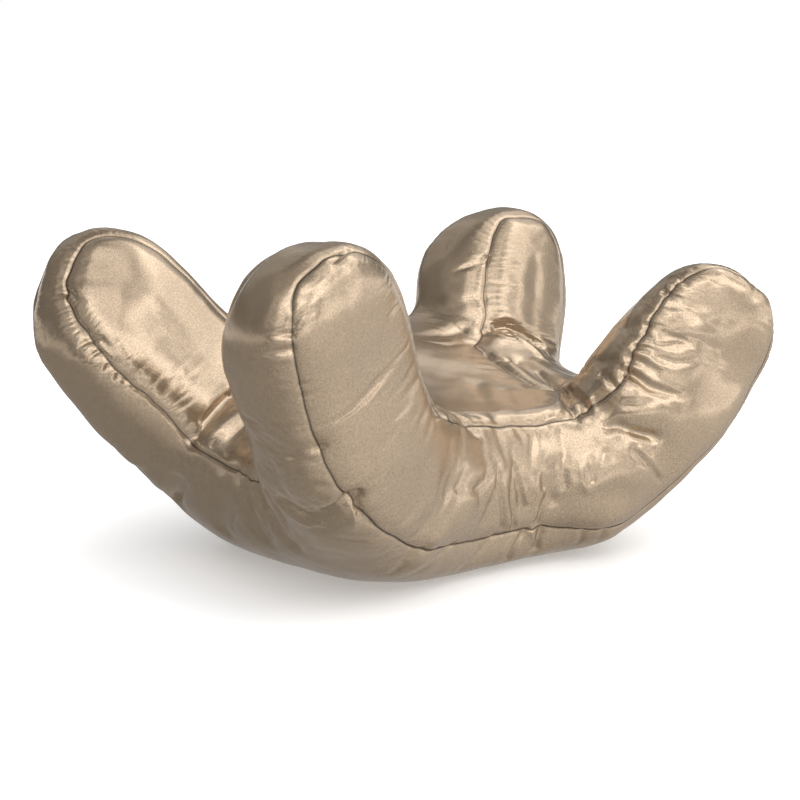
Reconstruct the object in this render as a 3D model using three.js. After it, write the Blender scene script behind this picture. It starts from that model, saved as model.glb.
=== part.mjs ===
// A stuffed face pillow: a low body on which the head lies, with four plump arms standing at its corners.
// Panels of satin are sewn edge to edge into one cover, which is packed with fibre: one filled solid.
// It rests on the middle of its rounded underside. +X runs along its length, +Y to its rear, +Z up.
import * as THREE from 'three';

// How far the cover is subdivided, and how stiff its seams are in the first rounds of that.
const SUBDIVISIONS = 3;
const SEAM_STIFFNESS = [0.4, 0.15, 0];

// The filling swells the panels outwards, and each seam draws the cover in between them.
const PANEL_SWELL = 3.4;
const SEAM_DEPTH = 4;
const SEAM_REACH = 8.5;

// The weight of the pillow sinks it this far, which flattens the underside where it rests.
const SINK = 2.4;

// The main folds of the cover, each along a few points on it. A negative height is a trough, a positive one
// is a roll beside it, and reach is its half width.
const FOLDS = [
  // rear right arm: the trough above its root, the roll below that, and a soft fold across its hollow side
  { height: -5, reach: 7, along: [[113, 58, 122], [127, 53, 117], [141, 45, 109]] },
  { height: 3.5, reach: 9, along: [[104, 46, 110], [120, 42, 107], [133, 34, 103]] },
  { height: -2.5, reach: 8, along: [[55, 69, 116], [89, 62, 117]] },
  // rear left arm: the trough above its root and the roll below that
  { height: -5, reach: 7, along: [[-148, 36, 88], [-135, 33, 101], [-119, 34, 112]] },
  { height: 3.5, reach: 8, along: [[-149, 23, 80], [-136, 20, 92], [-120, 19, 101]] },
  // front left arm: two folds across its long edge
  { height: -3, reach: 7, along: [[-176, -130, 114], [-182, -119, 107], [-177, -89, 95]] },
  { height: -4, reach: 7, along: [[-150, -128, 81], [-153, -97, 63], [-164, -84, 71]] },
  // front right arm: two puckers, the fold of its root, and the trough where the head's pad ends at it
  { height: -3.5, reach: 7, along: [[81, -98, 121], [107, -120, 107]] },
  { height: -2.5, reach: 6, along: [[98, -97, 145], [114, -112, 140]] },
  { height: -3, reach: 7, along: [[59, -109, 91], [74, -116, 89], [91, -121, 82]] },
  { height: -4, reach: 8, along: [[100, 20, 103], [95, -22, 97], [56, -80, 100]] },
  // front panel: its middle stands out as a roll, with two pleats at its lower seam
  {
    height: 9,
    reach: 17,
    along: [[-46, -104, 61], [-14, -98, 56], [14, -97, 54], [45, -101, 54], [76, -112, 59]],
  },
  { height: -3, reach: 7, along: [[-4, -95, 69], [4, -85, 48], [15, -73, 28]] },
  { height: -3, reach: 7, along: [[28, -92, 58], [31, -85, 42], [36, -75, 26]] },
  // left end: three gathers below the notch between its arms, and the fold under the rear arm
  { height: -3, reach: 7, along: [[-152, -43, 68], [-135, -46, 36]] },
  { height: -3.5, reach: 7, along: [[-149, -22, 67], [-134, -16, 33]] },
  { height: -3, reach: 8, along: [[-147, -5, 68], [-143, 12, 49], [-128, 34, 28]] },
  { height: -4, reach: 8, along: [[-147, 54, 56], [-134, 80, 36]] },
  // right end: two gathers below its notch
  { height: -3, reach: 7, along: [[152, -40, 70], [137, -44, 38]] },
  { height: -3.5, reach: 8, along: [[152, 12, 70], [136, 20, 36]] },
  // rear panel: two pleats at its lower seam
  { height: -3, reach: 7, along: [[-36, 100, 62], [-44, 78, 24]] },
  { height: -3, reach: 7, along: [[12, 98, 58], [20, 76, 24]] },
];

// Between the arms the front panel's upper seam is drawn back and its lower one forwards, so the panel curves
// out below the one and hangs almost upright above the other.
const DRAWN_SEAMS = [
  {
    by: [10.5, 13.3, 3.4],
    reach: 20,
    along: [[-52, -105, 100], [-36, -100, 95], [-14, -99, 92], [8, -98, 89], [30, -101, 89], [52, -103, 96]],
  },
  {
    by: [-10.5, -13.5, 3.4],
    reach: 22,
    along: [[-60, -92, 40], [-30, -80, 31], [5, -73, 26], [35, -74, 25], [70, -90, 27]],
  },
];

// Each arm is a stack of four-cornered sections from its root to its tip. x, y and z are a section's middle
// measured towards that arm's own corner of the pillow, lean is the arm's slope away from upright in degrees,
// inner and outer are its half thickness along the length at the inner and outer side of the arm, half is its
// half width, and twist turns it about the arm's axis in degrees.
const SECTION_COLUMNS = ['x', 'y', 'z', 'lean', 'inner', 'outer', 'half', 'twist'];
// Under each arm lies a quarter of the underside: its corner, a point half way along its long and its short
// edge, and one in the middle.
const UNDERSIDE_COLUMNS = ['x', 'y', 'z'];
const ARMS = {
  frontLeft: {
    towards: [-1, -1],
    sections: [
      [129, 86, 82, 25, 33, 58, 47, -15],
      [147, 92, 155, 24, 36, 70, 42, -9],
      [175, 112, 188, 26, 50, 63, 39, -15],
      [181, 119, 216, 18, 16, 24, 26, 2],
    ],
    underside: { corner: [70, 103, 39], long: [27, 63, 12], short: [103, 89, 1], middle: [49, 83, 2] },
  },
  frontRight: {
    towards: [1, -1],
    sections: [
      [119, 85, 89, 1, 39, 69, 49, -20],
      [134, 82, 113, 13, 34, 72, 41, -10],
      [160, 89, 140, 35, 23, 65, 44, -29],
      [173, 98, 175, 34, 17, 31, 38, -13],
    ],
    underside: { corner: [72, 101, 1], long: [42, 61, 22], short: [117, 77, 2], middle: [52, 87, -1] },
  },
  rearLeft: {
    towards: [-1, 1],
    sections: [
      [120, 86, 103, 29, 49, 71, 43, 19],
      [156, 102, 142, 21, 66, 45, 42, 15],
      [171, 115, 173, 43, 55, 55, 34, 20],
      [192, 125, 184, 59, 32, 23, 16, 20],
    ],
    underside: { corner: [87, 102, 12], long: [35, 70, -7], short: [131, 84, 2], middle: [52, 80, 6] },
  },
  rearRight: {
    towards: [1, 1],
    sections: [
      [135, 87, 104, 18, 39, 70, 42, 3],
      [148, 97, 131, 9, 52, 62, 42, -3],
      [164, 116, 164, 10, 51, 64, 42, 0],
      [182, 118, 199, 8, 25, 24, 23, 9],
    ],
    underside: { corner: [85, 106, 13], long: [34, 70, -4], short: [118, 80, 2], middle: [50, 78, 1] },
  },
};

const SATIN = { color: 0xb5a188, roughness: 0.42, metalness: 0.1 };

const row = (columns, values) => Object.fromEntries(columns.map((name, i) => [name, values[i]]));

// The four corners of one section: inner side first, then round the arm to the outer side.
// The in-plane direction "in" points to the hollow side of the arm, and "out" to the pillow's long edge.
function sectionCorners([sideX, sideY], values) {
  const s = row(SECTION_COLUMNS, values);
  const lean = THREE.MathUtils.degToRad(s.lean);
  const twist = THREE.MathUtils.degToRad(s.twist);
  const corners = [[s.inner, -s.half], [-s.inner, -s.half], [-s.outer, s.half], [s.outer, s.half]];
  return corners.map(([a, b]) => {
    const inward = a * Math.cos(twist) - b * Math.sin(twist);
    const outward = a * Math.sin(twist) + b * Math.cos(twist);
    const x = s.x - Math.cos(lean) * inward;
    const z = s.z + Math.sin(lean) * inward;
    return new THREE.Vector3(sideX * x, sideY * (s.y + outward), z);
  });
}

// The coarse form: an underside and a top of four by four points each, where each corner of the top is the
// root of an arm. Faces are lists of point numbers, and seams are closed loops of them.
function coarseForm() {
  const points = [];
  const faces = [];
  const number = new Map();
  const place = (key, point) => number.set(key, points.push(point) - 1);
  const at = (...key) => number.get(key.join(' '));
  const face = (...corners) => faces.push(corners);

  const rings = {};
  for (const [name, arm] of Object.entries(ARMS)) {
    const [sideX, sideY] = arm.towards;
    const outerX = sideX < 0 ? 0 : 3;
    const innerX = sideX < 0 ? 1 : 2;
    const outerY = sideY < 0 ? 0 : 3;
    const innerY = sideY < 0 ? 1 : 2;
    const spots = {
      corner: [outerX, outerY],
      long: [innerX, outerY],
      short: [outerX, innerY],
      middle: [innerX, innerY],
    };
    for (const [spot, [i, j]] of Object.entries(spots)) {
      const p = row(UNDERSIDE_COLUMNS, arm.underside[spot]);
      place(`under ${i} ${j}`, new THREE.Vector3(sideX * p.x, sideY * p.y, p.z));
    }
    const rootSpots = [[innerX, innerY], [outerX, innerY], [outerX, outerY], [innerX, outerY]];
    rings[name] = arm.sections.map((values, level) => {
      const keys = rootSpots.map(([i, j], c) => (level ? `${name} ${level} ${c}` : `top ${i} ${j}`));
      sectionCorners(arm.towards, values).forEach((corner, c) => place(keys[c], corner));
      return keys.map((key) => number.get(key));
    });
  }

  for (let i = 0; i < 3; i += 1) {
    for (let j = 0; j < 3; j += 1) {
      face(at('under', i, j), at('under', i, j + 1), at('under', i + 1, j + 1), at('under', i + 1, j));
      if (i === 1 || j === 1) {
        face(at('top', i, j), at('top', i + 1, j), at('top', i + 1, j + 1), at('top', i, j + 1));
      }
    }
    face(at('under', i, 0), at('under', i + 1, 0), at('top', i + 1, 0), at('top', i, 0));
    face(at('under', i + 1, 3), at('under', i, 3), at('top', i, 3), at('top', i + 1, 3));
    face(at('under', 0, i + 1), at('under', 0, i), at('top', 0, i), at('top', 0, i + 1));
    face(at('under', 3, i), at('under', 3, i + 1), at('top', 3, i + 1), at('top', 3, i));
  }
  for (const [name, ring] of Object.entries(rings)) {
    const [sideX, sideY] = ARMS[name].towards;
    const turned = (corners) => (sideX * sideY > 0 ? corners : corners.reverse());
    for (let level = 0; level + 1 < ring.length; level += 1) {
      for (let c = 0; c < 4; c += 1) {
        const d = (c + 1) % 4;
        face(...turned([ring[level][c], ring[level][d], ring[level + 1][d], ring[level + 1][c]]));
      }
    }
    face(...turned([...ring[ring.length - 1]]));
  }

  // A seam climbs one edge of an arm and comes down another, so each side panel is sewn in all round.
  const up = (name, corner) => rings[name].map((ring) => ring[corner]);
  const down = (name, corner) => up(name, corner).reverse();
  const over = (name, first, last) => [...up(name, first), ...down(name, last)];
  const under = (j) => [0, 1, 2, 3].map((i) => at('under', i, j));
  const seams = {
    front: [...over('frontLeft', 3, 2), ...under(0), ...over('frontRight', 2, 3)],
    rear: [...over('rearLeft', 3, 2), ...under(3), ...over('rearRight', 2, 3)],
    left: [...over('frontLeft', 0, 1), ...over('rearLeft', 1, 0)],
    right: [...over('frontRight', 0, 1), ...over('rearRight', 1, 0)],
  };
  return { points, faces, seams };
}

const edgeKey = (a, b) => (a < b ? `${a} ${b}` : `${b} ${a}`);

// The mean of some weighted points.
function blend(points, weights) {
  const out = new THREE.Vector3();
  points.forEach((p, i) => out.addScaledVector(p, weights[i]));
  return out;
}

// One round of Catmull-Clark subdivision, in which a seam keeps part of its crease.
function subdivide({ points, faces, seams }, stiffness) {
  const seamNeighbours = new Map();
  const seamEdges = new Set();
  for (const loop of Object.values(seams)) {
    loop.forEach((p, i) => {
      const before = loop[(i + loop.length - 1) % loop.length];
      const after = loop[(i + 1) % loop.length];
      seamNeighbours.set(p, [before, after]);
      seamEdges.add(edgeKey(p, after));
    });
  }
  const centres = faces.map((f) => blend(f.map((p) => points[p]), f.map(() => 1 / f.length)));
  const edges = new Map();
  const facesAt = points.map(() => []);
  faces.forEach((f, n) => {
    f.forEach((p, i) => {
      const q = f[(i + 1) % f.length];
      const key = edgeKey(p, q);
      if (!edges.has(key)) edges.set(key, { ends: [p, q], sides: [] });
      edges.get(key).sides.push(n);
      facesAt[p].push(n);
    });
  });
  const edgesAt = points.map(() => []);
  for (const edge of edges.values()) edge.ends.forEach((p) => edgesAt[p].push(edge));

  const moved = points.map((p, n) => {
    const k = facesAt[n].length;
    const smooth = p.clone().multiplyScalar((k - 3) / k);
    facesAt[n].forEach((m) => smooth.addScaledVector(centres[m], 1 / (k * k)));
    for (const { ends } of edgesAt[n]) ends.forEach((q) => smooth.addScaledVector(points[q], 1 / (k * k)));
    if (!seamNeighbours.has(n)) return smooth;
    const [before, after] = seamNeighbours.get(n).map((q) => points[q]);
    const creased = blend([p, before, after], [0.75, 0.125, 0.125]);
    return smooth.lerp(creased, stiffness);
  });
  const onEdge = new Map();
  for (const [key, { ends, sides }] of edges) {
    const middle = blend(ends.map((q) => points[q]), [0.5, 0.5]);
    const smooth = blend([middle, ...sides.map((m) => centres[m])], [0.5, 0.25, 0.25]);
    const point = seamEdges.has(key) ? smooth.lerp(middle, stiffness) : smooth;
    onEdge.set(key, moved.push(point) - 1);
  }
  const finer = [];
  faces.forEach((f, n) => {
    const centre = moved.push(centres[n]) - 1;
    f.forEach((p, i) => {
      const before = f[(i + f.length - 1) % f.length];
      const after = f[(i + 1) % f.length];
      finer.push([p, onEdge.get(edgeKey(p, after)), centre, onEdge.get(edgeKey(before, p))]);
    });
  });
  const finerSeams = {};
  for (const [name, loop] of Object.entries(seams)) {
    finerSeams[name] = loop.flatMap((p, i) => [p, onEdge.get(edgeKey(p, loop[(i + 1) % loop.length]))]);
  }
  return { points: moved, faces: finer, seams: finerSeams };
}

function pointNormals({ points, faces }) {
  const normals = points.map(() => new THREE.Vector3());
  for (const f of faces) {
    const across = points[f[2]].clone().sub(points[f[0]]);
    const along = points[f[3]].clone().sub(points[f[1]]);
    const normal = across.cross(along);
    f.forEach((p) => normals[p].add(normal));
  }
  return normals.map((n) => n.normalize());
}

// How strongly something at this distance is felt, from 1 down to 0.
const nearness = (distance, reach) => Math.exp(-((distance / reach) ** 2));

function distanceToPath(point, path) {
  const nearest = new THREE.Vector3();
  const line = new THREE.Line3();
  let least = Infinity;
  for (let i = 0; i + 1 < path.length; i += 1) {
    line.set(path[i], path[i + 1]).closestPointToPoint(point, true, nearest);
    least = Math.min(least, nearest.distanceTo(point));
  }
  return least;
}

// Draws the front panel's seams back and forwards.
function drawSeams(form) {
  const seams = DRAWN_SEAMS.map(({ by, reach, along }) => ({
    by: new THREE.Vector3(...by),
    reach,
    path: along.map((p) => new THREE.Vector3(...p)),
  }));
  const points = form.points.map((p) => {
    const moved = p.clone();
    for (const seam of seams) moved.addScaledVector(seam.by, nearness(distanceToPath(p, seam.path), seam.reach));
    return moved;
  });
  return { ...form, points };
}

// Fills the panels out, draws the seams in and lays the folds.
function fillCover(form) {
  const normals = pointNormals(form);
  const seams = Object.values(form.seams).map((loop) => [...loop, loop[0]].map((p) => form.points[p]));
  const folds = FOLDS.map((fold) => ({ ...fold, path: fold.along.map((p) => new THREE.Vector3(...p)) }));
  const points = form.points.map((p, n) => {
    const toSeam = Math.min(...seams.map((seam) => distanceToPath(p, seam)));
    let height = PANEL_SWELL - SEAM_DEPTH * nearness(toSeam, SEAM_REACH);
    for (const fold of folds) height += fold.height * nearness(distanceToPath(p, fold.path), fold.reach);
    return p.clone().addScaledVector(normals[n], height);
  });
  return { ...form, points };
}

// Centres the pillow, lets it down on its resting surface and flattens what would reach below that.
function setDown(form) {
  const box = new THREE.Box3().setFromPoints(form.points);
  const middle = box.getCenter(new THREE.Vector3());
  const points = form.points.map((p) => {
    const height = Math.max(0, p.z - box.min.z - SINK);
    return new THREE.Vector3(p.x - middle.x, p.y - middle.y, height);
  });
  return { ...form, points };
}

function solid({ points, faces }) {
  const geometry = new THREE.BufferGeometry();
  geometry.setAttribute('position', new THREE.Float32BufferAttribute(points.flatMap((p) => p.toArray()), 3));
  geometry.setIndex(faces.flatMap(([a, b, c, d]) => [a, b, c, a, c, d]));
  geometry.computeVertexNormals();
  return geometry;
}

function pillow() {
  let form = coarseForm();
  for (let round = 0; round < SUBDIVISIONS; round += 1) form = subdivide(form, SEAM_STIFFNESS[round]);
  form = setDown(fillCover(drawSeams(form)));
  const mesh = new THREE.Mesh(solid(form), new THREE.MeshStandardMaterial(SATIN));
  mesh.name = 'pillow';
  return mesh;
}

const facePillow = new THREE.Group();
facePillow.add(pillow());

export default facePillow;
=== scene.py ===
from math import radians

import bpy
import numpy as np
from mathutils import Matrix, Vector
from mathutils.kdtree import KDTree


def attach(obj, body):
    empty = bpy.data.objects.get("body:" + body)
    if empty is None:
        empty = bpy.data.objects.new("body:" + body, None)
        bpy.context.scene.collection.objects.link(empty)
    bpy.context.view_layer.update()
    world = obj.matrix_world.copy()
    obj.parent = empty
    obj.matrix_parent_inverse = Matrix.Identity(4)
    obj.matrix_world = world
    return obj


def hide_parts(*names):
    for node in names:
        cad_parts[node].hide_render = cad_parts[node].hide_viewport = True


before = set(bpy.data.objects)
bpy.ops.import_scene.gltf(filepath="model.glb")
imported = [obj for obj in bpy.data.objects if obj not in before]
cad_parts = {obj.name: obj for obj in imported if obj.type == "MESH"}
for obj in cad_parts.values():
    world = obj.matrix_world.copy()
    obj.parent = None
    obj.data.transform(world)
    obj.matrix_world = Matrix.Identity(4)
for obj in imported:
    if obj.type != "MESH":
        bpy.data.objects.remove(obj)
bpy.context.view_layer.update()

# Camera
# A long lens stands about 1.3 m from the pillow, off its front left corner, and looks down on it a little. It
# is held level and isn't shifted.
camera_data = bpy.data.cameras.new("camera")
camera_data.lens = 87.96
camera_data.sensor_width = 36
camera = bpy.data.objects.new("camera", camera_data)
camera.location = (-0.7701, -0.9511, 0.3433)
camera.rotation_euler = (radians(90 - 11.37), 0, radians(-38.42))
bpy.context.scene.collection.objects.link(camera)
bpy.context.scene.camera = camera

# Form of the pillow
# The pillow is one sewn satin cover, stuffed with loose fibre: a low body with a plump arm at each corner.
# Sections across each arm, in millimetres, give a coarse form of four-cornered faces, which is subdivided.
# Seams run along some of its edges, between one panel and the next.
SECTION_COLUMNS = ["x", "y", "z", "lean", "inner", "outer", "half", "twist"]
# A section is a trapezoid round its middle point, tilted by lean and turned by twist, in degrees. Its row also
# gives half its inner side, half its outer side and half the width between them. A point of the underside has
# its distances from the middle of the pillow and its height.
ARMS = {
    "front left": {
        "towards": [-1, -1],
        "sections": [
            [129, 86, 82, 25, 33, 58, 47, -15],
            [147, 92, 155, 24, 36, 70, 42, -9],
            [175, 112, 188, 26, 50, 63, 39, -15],
            [181, 119, 216, 18, 16, 24, 26, 2],
        ],
        "underside": {
            "corner": [70, 103, 39],
            "long": [27, 63, 12],
            "short": [103, 89, 1],
            "middle": [49, 83, 2],
        },
    },
    "front right": {
        "towards": [1, -1],
        "sections": [
            [119, 85, 89, 1, 39, 69, 49, -20],
            [134, 82, 113, 13, 34, 72, 41, -10],
            [160, 89, 140, 35, 23, 65, 44, -29],
            [173, 98, 175, 34, 17, 31, 38, -13],
        ],
        "underside": {
            "corner": [72, 101, 1],
            "long": [42, 61, 22],
            "short": [117, 77, 2],
            "middle": [52, 87, -1],
        },
    },
    "rear left": {
        "towards": [-1, 1],
        "sections": [
            [120, 86, 103, 29, 49, 71, 43, 19],
            [156, 102, 142, 21, 66, 45, 42, 15],
            [171, 115, 173, 43, 55, 55, 34, 20],
            [192, 125, 184, 59, 32, 23, 16, 20],
        ],
        "underside": {
            "corner": [87, 102, 12],
            "long": [35, 70, -7],
            "short": [131, 84, 2],
            "middle": [52, 80, 6],
        },
    },
    "rear right": {
        "towards": [1, 1],
        "sections": [
            [135, 87, 104, 18, 39, 70, 42, 3],
            [148, 97, 131, 9, 52, 62, 42, -3],
            [164, 116, 164, 10, 51, 64, 42, 0],
            [182, 118, 199, 8, 25, 24, 23, 9],
        ],
        "underside": {
            "corner": [85, 106, 13],
            "long": [34, 70, -4],
            "short": [118, 80, 2],
            "middle": [50, 78, 1],
        },
    },
}


def section_corners(towards, values):
    """The corners of a section: inner side first, then round the arm to the outer side."""
    section = dict(zip(SECTION_COLUMNS, values))
    lean, twist = radians(section["lean"]), radians(section["twist"])
    inner, outer, half = section["inner"], section["outer"], section["half"]
    placed = []
    for across, away in [(inner, -half), (-inner, -half), (-outer, half), (outer, half)]:
        inward = across * np.cos(twist) - away * np.sin(twist)
        outward = across * np.sin(twist) + away * np.cos(twist)
        x = section["x"] - np.cos(lean) * inward
        z = section["z"] + np.sin(lean) * inward
        placed.append((towards[0] * x, towards[1] * (section["y"] + outward), z))
    return placed


def coarse_form():
    """Points, faces, the panel that each face belongs to, and each seam as a closed loop of points.

    The body is a grid of four by four points above and below, and i counts its points from the left end to the
    right end, j from the front to the rear.
    """
    points, faces, panels, number = [], [], [], {}

    def place(key, point):
        number[key] = len(points)
        points.append(point)

    def face(panel, *keys):
        faces.append([number[key] for key in keys])
        panels.append(panel)

    rings = {}
    for name, arm in ARMS.items():
        outer_x, inner_x = (0, 1) if arm["towards"][0] < 0 else (3, 2)
        outer_y, inner_y = (0, 1) if arm["towards"][1] < 0 else (3, 2)
        spots = {
            "corner": (outer_x, outer_y),
            "long": (inner_x, outer_y),
            "short": (outer_x, inner_y),
            "middle": (inner_x, inner_y),
        }
        for spot, (i, j) in spots.items():
            x, y, z = arm["underside"][spot]
            place(("under", i, j), (arm["towards"][0] * x, arm["towards"][1] * y, z))
        root = [(inner_x, inner_y), (outer_x, inner_y), (outer_x, outer_y), (inner_x, outer_y)]
        rings[name] = []
        for level, values in enumerate(arm["sections"]):
            keys = [(name, level, corner) if level else ("top", *root[corner]) for corner in range(4)]
            for key, point in zip(keys, section_corners(arm["towards"], values)):
                place(key, point)
            rings[name].append(keys)

    for i in range(3):
        for j in range(3):
            face("under", ("under", i, j), ("under", i, j + 1), ("under", i + 1, j + 1), ("under", i + 1, j))
            if i == 1 or j == 1:
                panel = "top" if i == 1 else "left" if i == 0 else "right"
                face(panel, ("top", i, j), ("top", i + 1, j), ("top", i + 1, j + 1), ("top", i, j + 1))
        face("front", ("under", i, 0), ("under", i + 1, 0), ("top", i + 1, 0), ("top", i, 0))
        face("rear", ("under", i + 1, 3), ("under", i, 3), ("top", i, 3), ("top", i + 1, 3))
        face("under", ("under", 0, i + 1), ("under", 0, i), ("top", 0, i), ("top", 0, i + 1))
        face("under", ("under", 3, i), ("under", 3, i + 1), ("top", 3, i + 1), ("top", 3, i))
    for name, ring in rings.items():
        side_x, side_y = ARMS[name]["towards"]
        end = "left" if side_x < 0 else "right"
        edge = "front" if side_y < 0 else "rear"
        step = 1 if side_x * side_y > 0 else -1
        for lower, upper in zip(ring, ring[1:]):
            for corner, panel in enumerate([end, "under", edge, "top"]):
                beside = (corner + 1) % 4
                face(panel, *[lower[corner], lower[beside], upper[beside], upper[corner]][::step])
        face("under", *ring[-1][::step])

    def over(name, first, last):
        return [ring[first] for ring in rings[name]] + [ring[last] for ring in reversed(rings[name])]

    def under(j):
        return [("under", i, j) for i in range(4)]

    loops = {
        "front": over("front left", 3, 2) + under(0) + over("front right", 2, 3),
        "rear": over("rear left", 3, 2) + under(3) + over("rear right", 2, 3),
        "left": over("front left", 0, 1) + over("rear left", 1, 0),
        "right": over("front right", 0, 1) + over("rear right", 1, 0),
    }
    seams = {name: np.array([number[key] for key in keys]) for name, keys in loops.items()}
    return np.array(points, float), np.array(faces), np.array(panels), seams


def subdivide(points, faces, panels, seams, stiffness):
    """One round of smooth subdivision of four-cornered faces, in which a seam keeps part of its crease."""
    count = len(points)
    following = np.roll(faces, -1, axis=1)
    keys = np.minimum(faces, following) * count + np.maximum(faces, following)
    keys, edge_of = np.unique(keys, return_inverse=True)
    edge_of = edge_of.reshape(faces.shape)
    ends = np.stack([keys // count, keys % count], axis=1)
    centres = points[faces].mean(axis=1)
    middles = points[ends].mean(axis=1)
    on_edges = middles / 2
    np.add.at(on_edges, edge_of, centres[:, None] / 4)
    around = np.zeros_like(points)
    np.add.at(around, faces, np.repeat(centres[:, None], 4, axis=1))
    np.add.at(around, ends, np.repeat(middles[:, None] * 2, 2, axis=1))
    valence = np.bincount(faces.ravel(), minlength=count)[:, None]
    moved = points * (valence - 3) / valence + around / valence**2
    finer_seams = {}
    for name, seam in seams.items():
        before, after = np.roll(seam, 1), np.roll(seam, -1)
        creased = points[seam] * 0.75 + (points[before] + points[after]) / 8
        edges = np.searchsorted(keys, np.minimum(seam, after) * count + np.maximum(seam, after))
        moved[seam] += stiffness * (creased - moved[seam])
        on_edges[edges] += stiffness * (middles[edges] - on_edges[edges])
        finer_seams[name] = np.stack([seam, count + edges], axis=1).ravel()
    middle_of = np.repeat(np.arange(len(faces))[:, None] + count + len(keys), 4, axis=1)
    corners = [faces, count + edge_of, middle_of, count + np.roll(edge_of, 1, axis=1)]
    finer = np.stack(corners, axis=2).reshape(-1, 4)
    return np.concatenate([moved, on_edges, centres]), finer, np.repeat(panels, 4), finer_seams


# The seams are stiff in the first rounds only, so they end as soft lines.
SEAM_STIFFNESS = [0.4, 0.15, 0, 0, 0]
form = coarse_form()
for stiffness in SEAM_STIFFNESS:
    form = subdivide(*form, stiffness)
points, faces, panels, seams = form


def normals_of(points):
    """The outward direction of the cover at each point."""
    across = points[faces[:, 2]] - points[faces[:, 0]]
    along = points[faces[:, 3]] - points[faces[:, 1]]
    normals = np.zeros_like(points)
    np.add.at(normals, faces, np.repeat(np.cross(across, along)[:, None], 4, axis=1))
    return normals / np.linalg.norm(normals, axis=1)[:, None]


def nearness(distance, reach):
    """How strongly something at this distance is felt, from 1 down to 0."""
    return np.exp(-((distance / reach) ** 2))


def distance_to_path(points, path):
    """The distance from each point to the nearest place on a path of straight pieces."""
    least = np.full(len(points), np.inf)
    for start, end in zip(path, path[1:]):
        along = np.subtract(end, start)
        share = np.clip((points - start) @ along / (along @ along), 0, 1)
        least = np.minimum(least, np.linalg.norm(points - start - share[:, None] * along, axis=1))
    return least


# Between the arms the front panel's upper seam is drawn back and its lower one forwards, so the panel curves
# out below the one and hangs almost upright above the other.
DRAWN_SEAMS = [
    {
        "by": [10.5, 13.3, 3.4], "reach": 20,
        "along": [
            [-52, -105, 100], [-36, -100, 95], [-14, -99, 92],
            [8, -98, 89], [30, -101, 89], [52, -103, 96],
        ],
    },
    {
        "by": [-10.5, -13.5, 3.4], "reach": 22,
        "along": [[-60, -92, 40], [-30, -80, 31], [5, -73, 26], [35, -74, 25], [70, -90, 27]],
    },
]
shares = [nearness(distance_to_path(points, drawn["along"]), drawn["reach"]) for drawn in DRAWN_SEAMS]
for drawn, share in zip(DRAWN_SEAMS, shares):
    points = points + share[:, None] * drawn["by"]

# Seams
# The panels are sewn edge to edge with plain seams, with their edges turned inside. The seams run round the
# tips of the arms and along the underside in even curves. Between those heights they keep to the form, because
# the arms branch off there.
EASING_ROUNDS = 160
EASING_REACH = 22
EASED_HEIGHTS = [60, 80, 125, 160]
EASED_SHARES = [1, 0, 0, 1]
WANDER = 1.3
WANDER_SPACING = 11
RANDOM_SEED = 7
seam_points = np.concatenate(list(seams.values()))


def nearest_seam(points):
    """For each point: the distance to the nearest point of a seam, and that one's place in seam_points."""
    tree = KDTree(len(seam_points))
    for place, point in enumerate(points[seam_points]):
        tree.insert(point, place)
    tree.balance()
    found = [tree.find(point) for point in points]
    return np.array([distance for _, _, distance in found]), np.array([place for _, place, _ in found])


def eased(line):
    """A closed line of points, with its bends evened out."""
    for _ in range(EASING_ROUNDS):
        line = (np.roll(line, 1, axis=0) + 2 * line + np.roll(line, -1, axis=0)) / 4
    return line


random = np.random.default_rng(RANDOM_SEED)


def soft_noise(points, spacing):
    """Smooth random heights between -1 and 1 with that spacing, from a grid of random values."""
    at = (points - points.min(axis=0)) / spacing
    cell = at.astype(int)
    share = at - cell
    share = share * share * (3 - 2 * share)
    grid = random.uniform(-1, 1, cell.max(axis=0) + 2)
    height = np.zeros(len(points))
    for corner in np.ndindex(2, 2, 2):
        weight = np.prod(np.where(corner, share, 1 - share), axis=1)
        height += weight * grid[tuple((cell + corner).T)]
    return height


shifts = np.concatenate([eased(points[seam]) - points[seam] for seam in seams.values()])
normals = normals_of(points)[seam_points]
shifts -= (shifts * normals).sum(axis=1)[:, None] * normals
shifts *= np.interp(points[seam_points, 2], EASED_HEIGHTS, EASED_SHARES)[:, None]
# No hand keeps a seam quite straight, so it wanders a little from side to side.
along = [np.roll(points[seam], -1, axis=0) - np.roll(points[seam], 1, axis=0) for seam in seams.values()]
across = np.cross(normals, np.concatenate(along))
wander = WANDER * soft_noise(points[seam_points], WANDER_SPACING) / np.linalg.norm(across, axis=1)
shifts += across * wander[:, None]
seam_distance, seam_place = nearest_seam(points)
points = points + shifts[seam_place] * nearness(seam_distance, EASING_REACH)[:, None]

# Filling
# The cover is stuffed with loose polyester fibre. The filling swells the panels, and each seam draws the cover
# in between them.
PANEL_SWELL = 3.2
SEAM_DEPTH = 2
SEAM_REACH = 6.5
seam_distance, _ = nearest_seam(points)

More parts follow.
